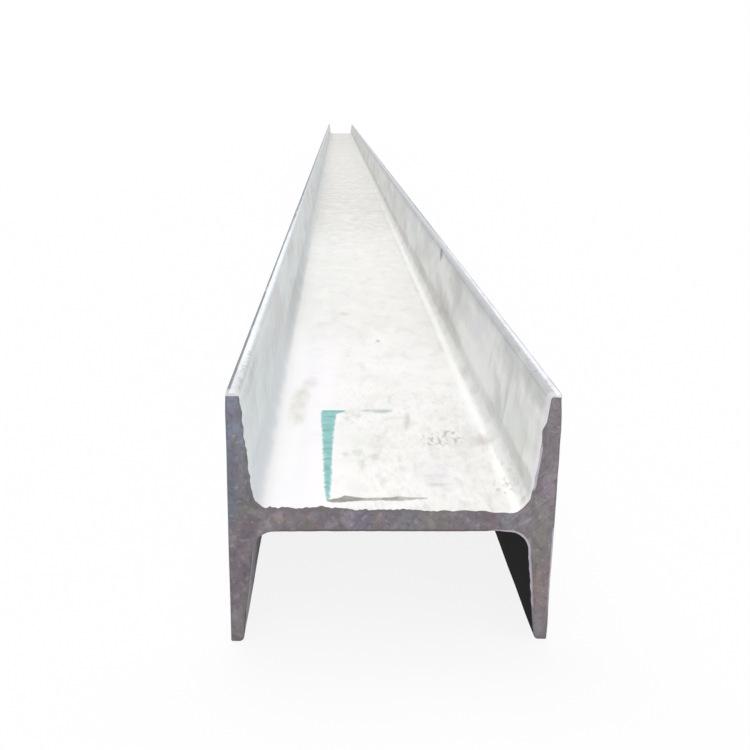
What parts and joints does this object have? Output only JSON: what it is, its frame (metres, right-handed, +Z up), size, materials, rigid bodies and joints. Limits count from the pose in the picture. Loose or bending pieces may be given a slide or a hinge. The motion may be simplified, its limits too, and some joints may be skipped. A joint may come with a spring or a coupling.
{
  "type": "steel i-beam",
  "caption": "Hot-rolled steel I-beam with tapered flanges, rounded roots and toes, sawn square to a stock length and lying on the toes of its flanges with the web level.",
  "frame": {"origin": "on the floor under the middle of the beam: centre of the box in X and Y, lowest point in Z", "axes": "+X across the depth of the section, from the left flange to the right one; +Y along the beam, away from the end that carries the painted mark; +Z up, across the web"},
  "size_m": [0.15, 6, 0.122],
  "materials": {
    "galvanised_steel": "dull, weathered hot-dip zinc over rolled steel, mottled pale grey, with dark grey sawn ends"
  },
  "bodies": {
    "root": {"i_beam": "galvanised_steel"}
  },
  "joints": []
}
